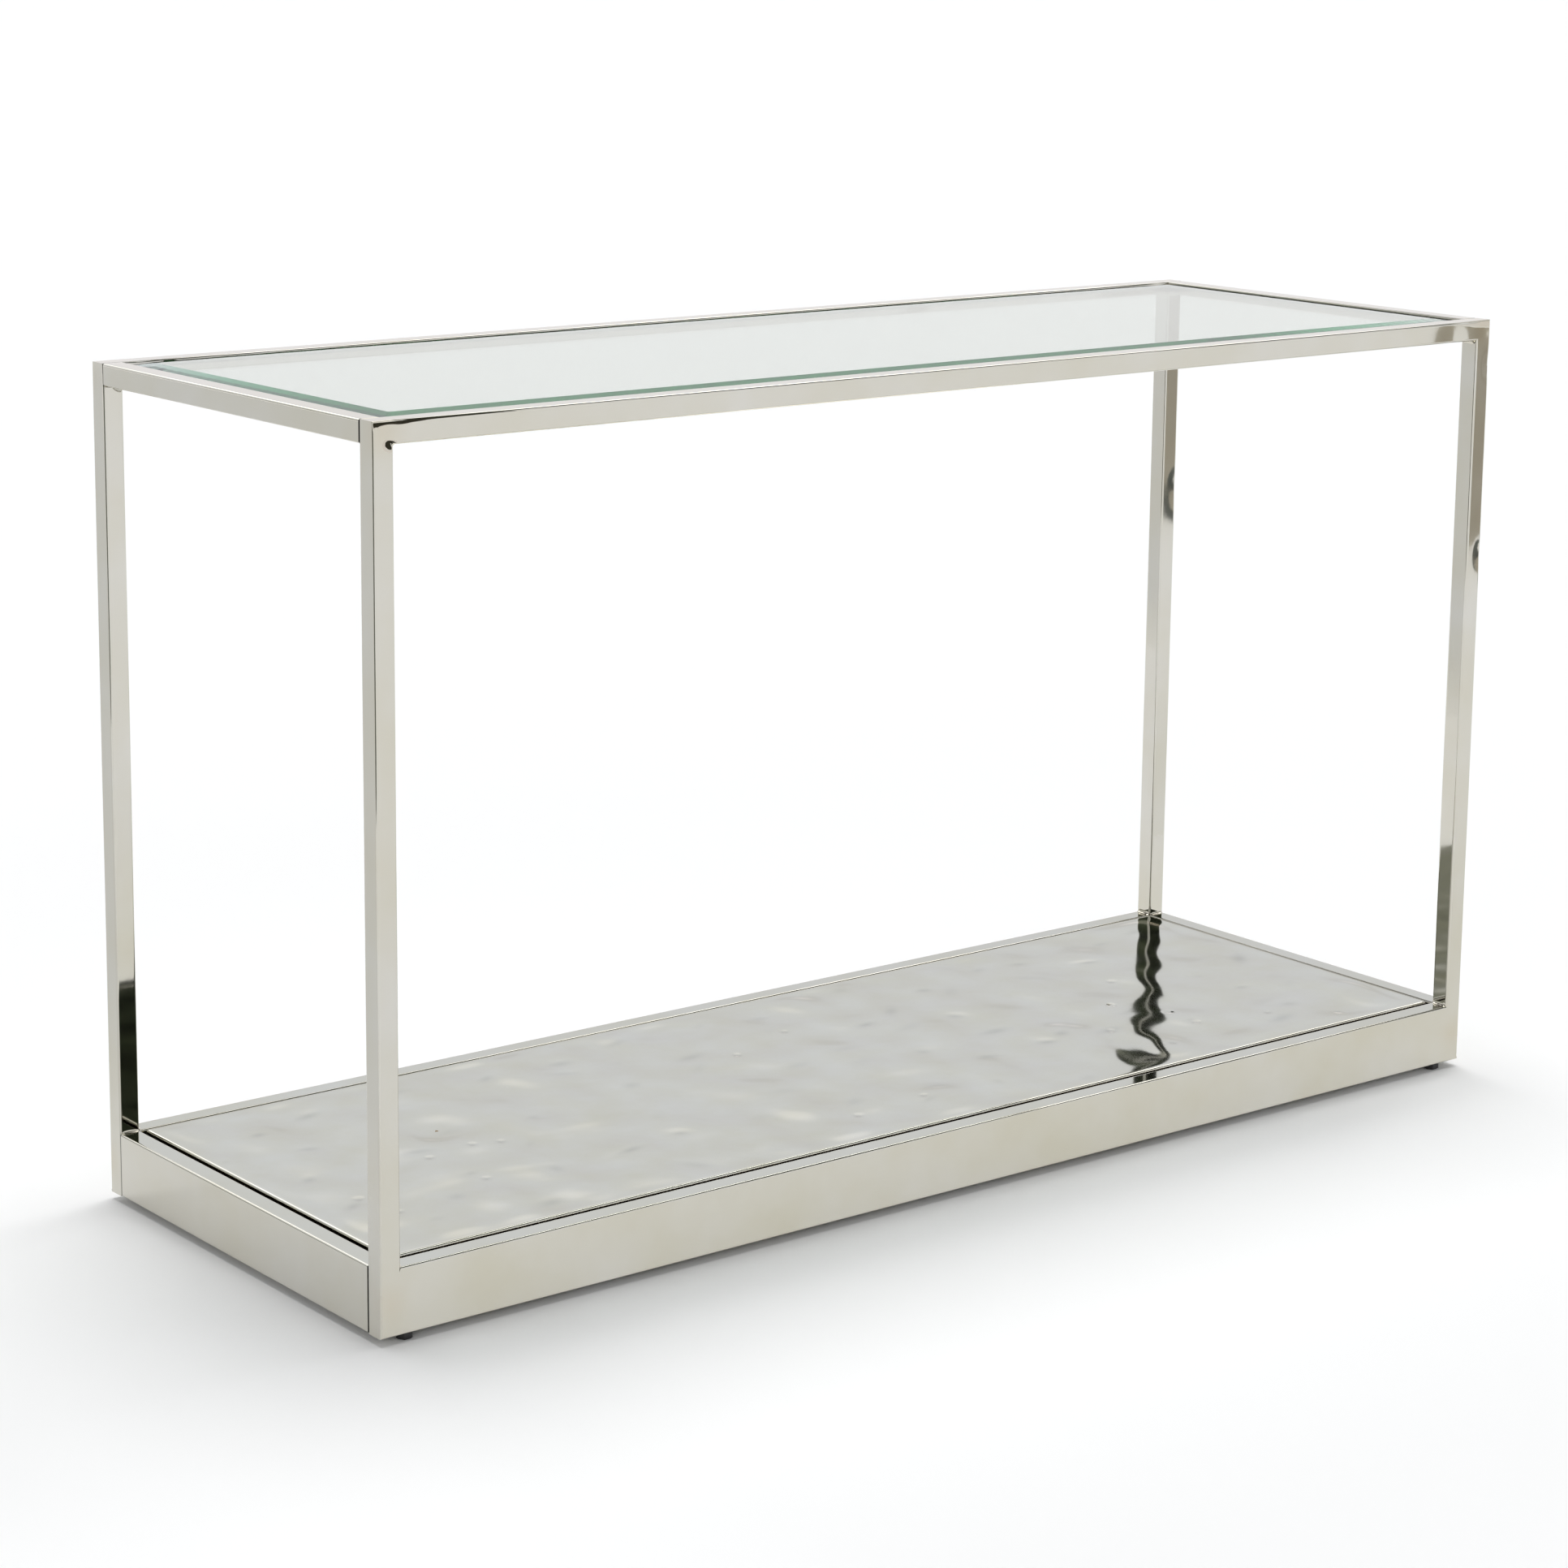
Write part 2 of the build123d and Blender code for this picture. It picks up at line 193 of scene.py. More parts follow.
def buffed_steel(tree, coords, colours, cloud, haze, haze_range, peel, peel_detail, relief, tints):
    """Buffed stainless steel with clouds of warmer colour, patches of haze and a slight orange
    peel, each of a size in metres. A tint is a painted amount, how much of it shows, its colour."""
    clouds = add_node(
        tree, "ShaderNodeTexNoise", {"Vector": coords, "Scale": 1 / cloud, "Detail": 3.0}
    )
    layers = [(clouds, -0.4, 1.4, colours.steel_warm)]
    for amount, most, colour in tints:
        painted = add_node(tree, "ShaderNodeAttribute", {"attribute_name": amount}, "Fac")
        layers.append((painted, 0.0, most, colour))
    body = opaque(colours.steel)
    for amount, low, high, colour in layers:
        share = add_node(
            tree, "ShaderNodeMapRange", {"Value": amount, "To Min": low, "To Max": high}
        )
        body = add_node(
            tree, "ShaderNodeMix",
            {"data_type": "RGBA", 0: share, MIX_A: body, MIX_B: opaque(colour)}, MIX_OUT,
        )
    hazes = add_node(
        tree, "ShaderNodeTexNoise", {"Vector": coords, "Scale": 1 / haze, "Detail": 5.0}
    )
    rough = add_node(
        tree, "ShaderNodeMapRange",
        {"Value": hazes, "To Min": haze_range[0], "To Max": haze_range[1]},
    )
    peels = add_node(
        tree, "ShaderNodeTexNoise", {"Vector": coords, "Scale": 1 / peel, "Detail": peel_detail}
    )
    surface = add_node(
        tree, "ShaderNodeBump", {"Height": peels, "Distance": relief, "Strength": 1.0}
    )
    look = {"Metallic": 1.0, "Base Color": body, "Roughness": rough, "Normal": surface}
    return {"Surface": add_node(tree, "ShaderNodeBsdfPrincipled", look)}


def polished_stainless(tree, coords, colours):
    """Stainless tube, buffed to a mirror on a wheel: clear reflections, a faint haze that comes
    and goes over a few centimetres, a straw tint beside the welds, and a dark line painted along
    the open seams, for the shade in the gap and the dirt held there. The wheel leaves an orange
    peel about 6 mm from crest to crest."""
    # The seam tint is painted shade in the gap between a side member and a leg, with the dirt held
    # there.
    tints = (("weld_heat", 1.0, colours.heat), ("seam", 1.0, colours.seam))
    return buffed_steel(
        tree, coords, colours, 90 * MM, 30 * MM, (0.02, 0.08), 6 * MM, 1.0, 0.004 * MM, tints
    )


def hammered_stainless(tree, coords, colours):
    """Stainless sheet, hammered by hand and buffed again: soft rings of haze round the dents, a
    duller grey in them, and an orange peel from the planishing about 9 mm from crest to crest."""
    tints = (("dent", 0.5, colours.mill),)
    return buffed_steel(
        tree, coords, colours, 50 * MM, 20 * MM, (0.05, 0.12), 9 * MM, 2.0, 0.012 * MM, tints
    )


def mill_stainless(tree, coords, colours):
    """Stainless bar and angle as it left the mill: drawn along its length, so the highlight is
    broad and streaked, with draw lines about 0.4 mm apart and a hundred times as long."""
    drawn = add_node(tree, "ShaderNodeMapping", {"Vector": coords, "Scale": (0.01, 1.0, 1.0)})
    lines = add_node(
        tree, "ShaderNodeTexNoise", {"Vector": drawn, "Scale": 1 / (0.4 * MM), "Detail": 2.0}
    )
    return one_pattern(
        tree, lines, (colours.mill, colours.steel), (0.0, 0.5), (0.25, 0.42), 0.01 * MM,
        {"Metallic": 1.0},
    )


def zinc_plate(tree, coords, colours):
    """Bright zinc plate over turned steel: bluish and slightly cloudy. Its crystals are drawn
    1 mm across, coarser than real, so that they show."""
    crystals = add_node(
        tree, "ShaderNodeTexVoronoi", {"Vector": coords, "Scale": 1 / MM}, "Distance"
    )
    return one_pattern(
        tree, crystals, (colours.zinc, colours.mill), (0.0, 1.0), (0.22, 0.4), 0.01 * MM,
        {"Metallic": 1.0},
    )


def moulded_nylon(tree, coords, colours):
    """Black nylon, moulded in a spark-eroded tool with a 0.5 mm grain: a soft, wide sheen."""
    grain = add_node(
        tree, "ShaderNodeTexNoise", {"Vector": coords, "Scale": 1 / (0.5 * MM), "Detail": 2.0}
    )
    return one_pattern(
        tree, grain, (colours.nylon, hex_colour("#2B2B2B")), (0.0, 0.4), (0.38, 0.55), 0.02 * MM,
        {"IOR": 1.53},
    )


def fibreboard(tree, coords, colours):
    """Medium density fibreboard, sanded: matt tan, with fibres 1.5 mm apart and darker flecks."""
    laid = add_node(tree, "ShaderNodeMapping", {"Vector": coords, "Scale": (0.3, 1.0, 1.0)})
    fibres = add_node(
        tree, "ShaderNodeTexNoise", {"Vector": laid, "Scale": 1 / (1.5 * MM), "Detail": 6.0}
    )
    return one_pattern(
        tree, fibres, (colours.board, hex_colour("#8A6E4A")), (0.0, 1.0), None, 0.05 * MM,
        {"IOR": 1.5, "Roughness": 0.8},
    )


def clear_silicone(tree, coords, colours):
    """Cast clear silicone: water-white, with a greasy bloom in patches of 2 mm."""
    bloom = add_node(
        tree, "ShaderNodeTexNoise", {"Vector": coords, "Scale": 1 / (2 * MM), "Detail": 3.0}
    )
    return one_pattern(
        tree, bloom, (colours.silicone, hex_colour("#F4F6F5")), (0.0, 1.0), (0.15, 0.3), None,
        {"IOR": 1.41, "Transmission Weight": 0.9},
    )


def float_glass(tree, coords, _):
    """Clear float glass with a polished bevel: iron in it turns its long paths green, at the
    bevel and edges, and fingertips leave the flat field very slightly hazy."""
    smears = add_node(
        tree, "ShaderNodeTexNoise", {"Vector": coords, "Scale": 1 / (50 * MM), "Detail": 4.0}
    )
    rough = add_node(tree, "ShaderNodeMapRange", {"Value": smears, "To Min": 0.0, "To Max": 0.012})
    drift = add_node(
        tree, "ShaderNodeTexNoise", {"Vector": coords, "Scale": 1 / (120 * MM), "Detail": 1.0}
    )
    surface = add_node(
        tree, "ShaderNodeBump", {"Height": drift, "Distance": 0.01 * MM, "Strength": 1.0}
    )
    look = {
        "IOR": 1.52, "Transmission Weight": 1.0, "Base Color": opaque(hex_colour("#E0E1DF")),
        "Roughness": rough, "Normal": surface,
    }
    iron = {"Color": opaque((0.0, 0.67, 0.32)), "Density": 6.5}
    return {
        "Surface": add_node(tree, "ShaderNodeBsdfPrincipled", look),
        "Volume": add_node(tree, "ShaderNodeVolumeAbsorption", iron),
    }


def floor_paint(tree, coords, colours):
    """Matt white floor paint: an even, pale ground, mottled very faintly over 0.8 m."""
    patches = add_node(
        tree, "ShaderNodeTexNoise", {"Vector": coords, "Scale": 1 / 0.8, "Detail": 2.0}
    )
    return one_pattern(
        tree, patches, (colours.floor, hex_colour("#F4F4F3")), (0.0, 0.3), None, None,
        {"Roughness": 1.0, "Specular IOR Level": 0.0},
    )


FINISHES = {
    "polished_steel": ("polished_stainless_steel", polished_stainless),
    "hammered_steel": ("hammered_stainless_sheet", hammered_stainless),
    "ledge_steel": ("mill_finish_stainless", mill_stainless),
    "zinc_steel": ("zinc_plated_steel", zinc_plate),
    "black_nylon": ("moulded_black_nylon", moulded_nylon),
    "shelf_board": ("sanded_fibreboard", fibreboard),
    "clear_silicone": ("cast_clear_silicone", clear_silicone),
    "clear_glass": ("clear_float_glass", float_glass),
    "floor": ("matt_floor_paint", floor_paint),
}
made_finishes = {}


def finish_for(slot, colours):
    """The material of a slot, made once."""
    if slot not in made_finishes:
        made_finishes[slot] = new_material(*FINISHES[slot], colours)
    return made_finishes[slot]


# ---------------------------------------------------------------- mesh helpers


def new_piece(name, points, faces, slot, body, colours, stands_for=(), sharp=35.0):
    """A finished mesh piece that rides on a body and may stand for nodes of the frame."""
    mesh = bpy.data.meshes.new(name)
    mesh.from_pydata(np.asarray(points).tolist(), [], faces)
    mesh.validate()
    mesh.shade_smooth()
    mesh.set_sharp_from_angle(angle=math.radians(sharp))
    mesh.materials.append(finish_for(slot, colours))
    piece = bpy.data.objects.new(name, mesh)
    bpy.context.scene.collection.objects.link(piece)
    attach(piece, body)
    if stands_for:
        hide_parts(*stands_for)
    return piece


def paint_points(piece, name, values):
    """Store one number for each point, for the materials to read."""
    attribute = piece.data.attributes.new(name, "FLOAT", "POINT")
    attribute.data.foreach_set("value", np.clip(values, 0, 1).astype(np.float32))


def ring_faces(rings, count):
    """Quads between successive rings of count points, and a face over each end."""
    faces = []
    for first in range(0, (rings - 1) * count, count):
        for i in range(count):
            j = (i + 1) % count
            faces.append((first + i, first + j, first + count + j, first + count + i))
    last = (rings - 1) * count
    return [*faces, tuple(reversed(range(count))), tuple(range(last, last + count))]


def grid_faces(rows, columns):
    """Quads between the points of a grid that are listed row by row."""
    return [
        (i * columns + j, (i + 1) * columns + j, (i + 1) * columns + j + 1, i * columns + j + 1)
        for i in range(rows - 1)
        for j in range(columns - 1)
    ]


def node_box(name):
    """A frame node's low and high corners, as arrays."""
    low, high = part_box(name)
    return np.array(low), np.array(high)


class Ripple:
    """Smooth unevenness: seeded plane waves, each as high as its length allows."""

    def __init__(self, seed, shortest, longest, count=14):
        draw = np.random.default_rng(seed)
        lengths = draw.uniform(shortest, longest, count)
        ways = draw.normal(size=(count, 3))
        ways /= np.linalg.norm(ways, axis=1, keepdims=True)
        self.waves = ways * (2 * math.pi / lengths)[:, None]
        self.phases = draw.uniform(0, 2 * math.pi, count)
        self.heights = lengths / longest / math.sqrt(count / 2)

    def __call__(self, points):
        return np.sin(points @ self.waves.T + self.phases) @ self.heights


def hump(points, centre, width):
    """1 at the centre, falling smoothly to 0 over about twice the width."""
    return np.exp(-((np.asarray(points) - centre) ** 2).sum(axis=-1) / width**2)


# ---------------------------------------------------------------- tube members

LONG_WAVES = Ripple(11, 0.12, 0.42)
EDGE_WAVES = Ripple(23, 0.15, 0.60)
EDGE_WEAR = 0.12 * MM  # taken off every corner of a tube
MORE_WEAR = 0.16 * MM  # and this much more where the wheel pressed hardest
# The wheel is held longer on the top edge beside a weld: it cuts this deep there, over this much
# of the tube's length, and down to this far below the top, which grows near the weld.
BUFF_DEPTH, BUFF_RUN = 1.0 * MM, 75 * MM
BUFF_REACH, BUFF_MORE, BUFF_MORE_RUN = 1.0 * MM, 3.6 * MM, 35 * MM
# Hollows ground at the welds on the long faces: place along, height, width and depth in metres.
WELD_HOLLOWS = (
    (-0.6430, 0.7650, 0.0070, 0.00215),
    (-0.6500, 0.7680, 0.0110, 0.00018),
    (0.6500, 0.7680, 0.0110, 0.00018),
    (-0.6500, 0.0500, 0.0160, 0.00016),
    (0.6500, 0.0500, 0.0160, 0.00016),
)
# Knocks from handling: centre, width and depth in metres, and how drawn out upwards each is.
KNOCKS = (
    ((0.6590, 0.2125, 0.5500), 0.0080, 0.00042, 2.2),
    ((0.6600, -0.2325, 0.7340), 0.0070, 0.00080, 1.8),
    ((0.6600, -0.2325, 0.5400), 0.0070, 0.00042, 1.8),
    ((0.6050, -0.2325, 0.7620), 0.0150, 0.00035, 1.0),
    ((0.2600, -0.2325, 0.0300), 0.0300, 0.00020, 1.0),
)
HEAT_REACH, TUBE_HEAT, BEAD_HEAT = 16 * MM, 0.14, 0.12  # straw tint round a weld and on its bead
# The seam's dark line is painted: shade in the gap where two members meet, with the dirt held there.
SEAM_WIDTH, SEAM_FADE = 0.7 * MM, 1.6  # the dark line where two members meet, and its softness
ARC_STEPS = 5
FLAT_PLACES = (0.0009, 0.002, 0.0036, 0.006)  # points on a flat, measured in from each edge
FLAT_PITCH = 8 * MM  # and between those
END_PLACES = (0, 0.0004, 0.0011, *np.arange(3, 36, 3) * MM)  # stations near a welded end
END_LENGTH, STATION_PITCH = 36 * MM, 5 * MM


def tube_loop(half_width, half_height, radius):
    """Points round a tube's section with their outward normals, and how far each is on an edge."""
    points, normals, on_edge = [], [], []
    corners = ((1, 1), (-1, 1), (-1, -1), (1, -1))
    for quarter, (su, sv) in enumerate(corners):
        centre = np.array((su * (half_width - radius), sv * (half_height - radius)))
        for step in range(ARC_STEPS + 1):
            angle = math.radians(90 * (quarter + step / ARC_STEPS))
            normal = np.array((math.cos(angle), math.sin(angle)))
            points.append(centre + radius * normal)
            normals.append(normal)
            on_edge.append(math.sin(math.pi * step / ARC_STEPS))
        su, sv = corners[(quarter + 1) % 4]
        following = np.array((su * (half_width - radius), sv * (half_height - radius)))
        start, end = points[-1], following + radius * normals[-1]
        flat = np.linalg.norm(end - start)
        inner = FLAT_PLACES[-1]
        middle = np.linspace(inner, flat - inner, 2 + int(flat / FLAT_PITCH))[1:-1]
        for place in (*FLAT_PLACES, *middle, *(flat - p for p in reversed(FLAT_PLACES))):
            points.append(start + (end - start) * place / flat)
            normals.append(normals[-1])
            on_edge.append(0.0)
    return np.array(points), np.array(normals), np.array(on_edge)


def along(length):
    """Stations from 0 to 1 along a member, close together near its welded ends."""
    ends = np.array(END_PLACES)
    count = max(4, int(length / STATION_PITCH))
    middle = np.linspace(END_LENGTH, length - END_LENGTH, count)
    return np.concatenate((ends, middle, length - ends[::-1])) / length


def mitre_inset(section, low, high, mitre):
    """How far each point of an end is cut back for a mitre: none at the outer side."""
    if mitre is None:
        return np.zeros(len(section))
    axis, outer, run = mitre
    edge = high[axis] if outer > 0 else low[axis]
    return run * np.abs(section[:, axis] - edge) / (high[axis] - low[axis])


def weld_points():
    """The middle of each mitred corner of the front and rear frames, on its outer face."""
    low, high = (np.array(v) for v in CAD_BOX)
    levels = [(node_box(name)[0][2] + node_box(name)[1][2]) / 2 for name in LONG_MEMBERS]
    tube = node_box("front_top_rail")
    x = high[0] - (tube[1][1] - tube[0][1]) / 2
    return np.array([
        (side * x, y, z) for side in SIDES.values() for y in (low[1], high[1]) for z in levels
    ])


def dressed(points, normals, on_edge, sizes):
    """How far each point of the polished surface stands out: waves from the polishing wheel,
    edges worn a little rounder, more so beside the welds, and small knocks."""
    high = np.array(CAD_BOX[1])
    lift = sizes.tube_wave * LONG_WAVES(points)
    worn = np.clip(0.5 + 0.5 * EDGE_WAVES(points), 0, 1)
    lift -= on_edge * (EDGE_WEAR + MORE_WEAR * worn)
    facing = np.abs(normals[:, 1]) ** 4  # only the front and rear faces
    in_from_end = high[0] - np.abs(points[:, 0])
    below_top = np.maximum(high[2] - points[:, 2], 0)
    reach = BUFF_REACH + BUFF_MORE * np.exp(-((in_from_end / BUFF_MORE_RUN) ** 2))
    over_buffed = np.exp(-((below_top / reach) ** 2) - (in_from_end / BUFF_RUN) ** 2)
    lift -= facing * over_buffed * BUFF_DEPTH
    for x, z, width, depth in WELD_HOLLOWS:
        lift -= facing * depth * hump(points[:, (0, 2)], np.array((x, z)), width)
    for centre, width, depth, tall in KNOCKS:
        shrunk = (1.0, 1.0, 1 / tall)
        lift -= depth * hump(points * shrunk, np.array(centre) * shrunk, width)
    return lift


def seam_shade(points):
    """How much of the seam's painted shade and dirt shows: 1 in the open seam where a side member meets
    a leg, and 0 a millimetre away.
    """
    inwards, past = 3.5 * MM, 0.5 * MM  # how far in from the outer face, and past a member, it runs
    rail_low, rail_high = node_box("left_top_rail")
    apron_top = node_box("left_apron")[1][2]
    across = np.abs(np.abs(points[:, 1]) - rail_high[1])
    outside = np.abs(points[:, 0]) > CAD_BOX[1][0] - inwards
    level = (points[:, 2] > rail_low[2] - past) | (points[:, 2] < apron_top + past)
    return np.clip(SEAM_FADE - across / SEAM_WIDTH, 0, 1) * outside * level


def tube_member(node, axis, start_mitre, end_mitre, sizes, colours):
    """One polished tube, mitred or square at each end, in the place of its frame node."""
    low, high = node_box(node)
    centre, half = (low + high) / 2, (high - low) / 2
    cross = [a for a in range(3) if a != axis]
    loop, loop_normals, on_edge = tube_loop(half[cross[0]], half[cross[1]], sizes.edge_radius)
    if axis == 1:
        loop, loop_normals, on_edge = loop[::-1], loop_normals[::-1], on_edge[::-1]
    count = len(loop)
    section = np.zeros((count, 3))
    section[:, cross] = centre[cross] + loop
    normals = np.zeros((count, 3))
    normals[:, cross] = loop_normals
    start = low[axis] + mitre_inset(section, low, high, start_mitre)
    end = high[axis] - mitre_inset(section, low, high, end_mitre)
    stations = along(high[axis] - low[axis])
    points = np.tile(section, (len(stations), 1))
    for row, share in enumerate(stations):
        points[row * count : (row + 1) * count, axis] = start + share * (end - start)
    all_normals = np.tile(normals, (len(stations), 1))
    lift = dressed(points, all_normals, np.tile(on_edge, len(stations)), sizes)
    points = points + all_normals * lift[:, None]
    piece = new_piece(
        f"{node}_tube", points, ring_faces(len(stations), count), "polished_steel", "frame",
        colours, stands_for=[node],
    )
    heat = sum(hump(points, weld, HEAT_REACH) for weld in weld_points())
    paint_points(piece, "weld_heat", TUBE_HEAT * heat)
    # Paint the seam's dark line: shade in the gap, with the dirt held there.
    paint_points(piece, "seam", seam_shade(points))


# ---------------------------------------------------------------- welds


def weld_bead(corner, run_way, wall_way, under_way, length, radius, seed):
    """The concave fillet of a dressed weld. It runs along run_way in the corner where a wall,
    along wall_way, meets an underside, along under_way."""
    draw = np.random.default_rng(seed)
    steps, arc = 18, 9
    wander = Ripple(seed, 0.006, 0.02, 6)
    swell, jitter = 0.18, 0.02  # how far the radius wanders along the bead
    taper = 0.55  # how much of it is lost at the ends
    buried = 0.4 * MM  # the bead's edges lie this far inside the tubes
    points = []
    for s in range(steps + 1):
        place = -1 + 2 * s / steps
        middle = corner + run_way * place * length / 2
        wandered = 1 + swell * wander(middle[None])[0] + draw.uniform(-jitter, jitter)
        r = radius * wandered * (1 - taper * abs(place) ** 6)
        points.append(middle - (wall_way + under_way) * buried)
        for a in range(arc + 1):
            angle = math.radians(90 * a / arc)
            points.append(
                middle + wall_way * r * (1 - math.sin(angle)) + under_way * r * (1 - math.cos(angle))
            )
        points[-arc - 1] -= under_way * buried
        points[-1] -= wall_way * buried
    return np.array(points), ring_faces(steps + 1, arc + 2)


def corner_welds(name, inner, side_x, side_y, up, sizes, colours):
    """Both fillets of one frame corner: leg to long member, and leg to side member."""
    tube = node_box("front_top_rail")
    width = tube[1][1] - tube[0][1]
    run = width - 1.6 * sizes.edge_radius
    x_way, y_way, z_way = np.diag((-side_x, -side_y, float(up)))
    seed = 100 + 8 * (side_x > 0) + 4 * (side_y > 0) + 2 * (up > 0)
    long_weld, faces = weld_bead(
        inner - y_way * width / 2, np.abs(y_way), x_way, z_way, run, sizes.weld_radius, seed
    )
    side_weld, more = weld_bead(
        inner - x_way * width / 2, np.abs(x_way), y_way, z_way, run, sizes.weld_radius * 0.7,
        seed + 1,
    )
    points = np.concatenate((long_weld, side_weld))
    faces += [tuple(i + len(long_weld) for i in face) for face in more]
    piece = new_piece(name, points, faces, "polished_steel", "frame", colours, sharp=40.0)
    face_outwards(piece)
    paint_points(piece, "weld_heat", np.full(len(points), BEAD_HEAT))


def face_outwards(piece):
    """Point every face of a closed piece outwards."""
    work = bmesh.new()
    work.from_mesh(piece.data)
    bmesh.ops.recalc_face_normals(work, faces=work.faces)
    work.to_mesh(piece.data)
    work.free()


# ---------------------------------------------------------------- hammered sheet

GRID_PITCH = 2.8 * MM
SHEET_THICK, FOLD_DEPTH = 1.0 * MM, 4.6 * MM  # of the sheet, and how far up it is folded in
RELIEF_LIMIT, EDGE_FADE = 1.1 * MM, 20 * MM  # of the hammering, and where it fades at the edges
DENT_WIDTHS, DENT_LENGTHS = (0.008, 0.015), (1.0, 2.6)  # metres across, and how many times as long
CREASES, CREASE_DEPTH, CREASE_LENGTH, CREASE_WIDTH = 50, 0.2 * MM, 45 * MM, 9 * MM
SMALL_KNOCKS, SMALL_KNOCK_DEPTH, KNOCK_WIDTH = 16, 0.75 * MM, 3.8 * MM
# Sharper knocks near the rear right corner: place and depth in metres.
SHEET_KNOCKS = (
    (0.42, 0.04, 0.0011), (0.36, -0.025, 0.0015), (0.30, -0.09, 0.0011), (0.39, -0.12, 0.0011),
)


def edge_spaced(low, high, radius, pitch):
    """Positions across a sheet: fine over the rolled edges, and pitch apart between them."""
    roll = radius * (1 - np.cos(np.linspace(0, math.pi / 2, 6)))[:-1]
    middle = np.linspace(low + radius, high - radius, int((high - low - 2 * radius) / pitch) + 1)
    return np.concatenate((low + roll, middle, (high - roll)[::-1]))


def rolled(distance, radius):
    """How far the sheet has dropped at a distance in from its edge."""
    inside = np.clip(radius - distance, 0, radius)
    return radius - np.sqrt(np.maximum(radius**2 - inside**2, 0))


def hammer_marks(x, y, low, high, sizes):
    """Relief of the sheet: broad waves, scattered dents with raised rims, drawn-out creases, and
    a few pin-sized knocks. Also how deep in a dent each point is."""
    draw = np.random.default_rng(sizes.seed)
    relief, depth = np.zeros_like(x), np.zeros_like(x)
    pitch = sizes.dent_pitch

    def turned(px, py, turn):
        dx, dy = x - px, y - py
        return (dx * math.cos(turn) + dy * math.sin(turn), dy * math.cos(turn) - dx * math.sin(turn))

    for row, cy in enumerate(np.arange(low[1] + pitch * 0.4, high[1], pitch * 0.75)):
        for cx in np.arange(low[0] + pitch * (0.3 + 0.5 * (row % 2)), high[0], pitch):
            px, py = (cx, cy) + draw.uniform(-0.35, 0.35, 2) * pitch
            u, v = turned(px, py, draw.normal(0.3, 0.5))
            long, wide = draw.uniform(*DENT_LENGTHS), draw.uniform(*DENT_WIDTHS)
            deep = sizes.dent_depth * draw.uniform(0.15, 1.0) ** 1.5
            away = (u / (wide * long)) ** 2 + (v / wide) ** 2
            relief += deep * (-np.exp(-away) + 0.4 * np.exp(-away / 6))
            depth = np.maximum(depth, np.exp(-away * 4) * deep / sizes.dent_depth)
    for _ in range(CREASES):
        px, py = draw.uniform(low[0], high[0]), draw.uniform(low[1], high[1])
        u, v = turned(px, py, draw.normal(0.2, 0.5))
        deep = draw.uniform(-CREASE_DEPTH, CREASE_DEPTH)
        relief += deep * np.exp(-((u / CREASE_LENGTH) ** 2) - (v / CREASE_WIDTH) ** 2)
    scattered = [
        (draw.uniform(low[0], high[0]), draw.uniform(low[1], high[1]), SMALL_KNOCK_DEPTH)
        for _ in range(SMALL_KNOCKS)
    ]
    for px, py, deep in (*scattered, *SHEET_KNOCKS):
        knock = np.exp(-((x - px) ** 2 + (y - py) ** 2) / KNOCK_WIDTH**2)
        relief -= deep * knock
        depth = np.maximum(depth, knock)
    points = np.stack((x, y, np.zeros_like(x)), axis=-1)
    relief += sizes.sheet_wave * Ripple(sizes.seed + 1, 0.048, 0.112, 22)(points)
    return relief, depth


def shelf_sheet(sizes, colours):
    """The hammered sheet: relief over the top, rolled edges, skirts and a folded-in rim."""
    low, high = node_box("shelf_skin")
    low[:2] += sizes.sheet_gap
    high[:2] -= sizes.sheet_gap
    radius = sizes.sheet_radius
    xs, ys = (edge_spaced(low[axis], high[axis], radius, GRID_PITCH) for axis in (0, 1))
    x, y = (grid.ravel() for grid in np.meshgrid(xs, ys, indexing="ij"))
    from_x = np.minimum(x - low[0], high[0] - x)
    from_y = np.minimum(y - low[1], high[1] - y)
    relief, depth = hammer_marks(x, y, low, high, sizes)
    fade = np.clip((np.minimum(from_x, from_y) - radius) / EDGE_FADE, 0, 1)
    relief = RELIEF_LIMIT * np.tanh(relief / RELIEF_LIMIT) * fade**2 * (3 - 2 * fade)
    z = high[2] - rolled(from_x, radius) - rolled(from_y, radius) + relief
    z = np.maximum(z, high[2] - 2 * radius)
    points = np.stack((x, y, z), axis=-1)
    nx, ny = len(xs), len(ys)
    faces = grid_faces(nx, ny)
    rim = [i * ny for i in range(nx)]
    rim += [(nx - 1) * ny + j for j in range(1, ny)]
    rim += [i * ny + ny - 1 for i in range(nx - 2, -1, -1)]
    rim += [j for j in range(ny - 2, 0, -1)]
    base, count = len(points), len(rim)
    skirt = points[rim]
    skirt[:, 2] = low[2]
    tucked = np.array(skirt)
    tucked[:, :2] = np.clip(skirt[:, :2], low[:2] + SHEET_THICK, high[:2] - SHEET_THICK)
    folded = np.array(tucked)
    folded[:, 2] = high[2] - FOLD_DEPTH
    rows = (skirt, tucked, folded)
    previous = rim
    for row in range(len(rows)):
        current = list(range(base + row * count, base + (row + 1) * count))
        for i in range(count):
            j = (i + 1) % count
            faces.append((previous[j], previous[i], current[i], current[j]))
        previous = current
    faces.append(tuple(reversed(previous)))
    piece = new_piece(
        "hammered_shelf_sheet", np.concatenate((points, *rows)), faces, "hammered_steel", "frame",
        colours, stands_for=["shelf_skin"], sharp=50.0,
    )
    face_outwards(piece)
    paint_points(piece, "dent", np.concatenate((depth * fade, np.zeros(count * len(rows)))))


# ---------------------------------------------------------------- glass, feet and fittings

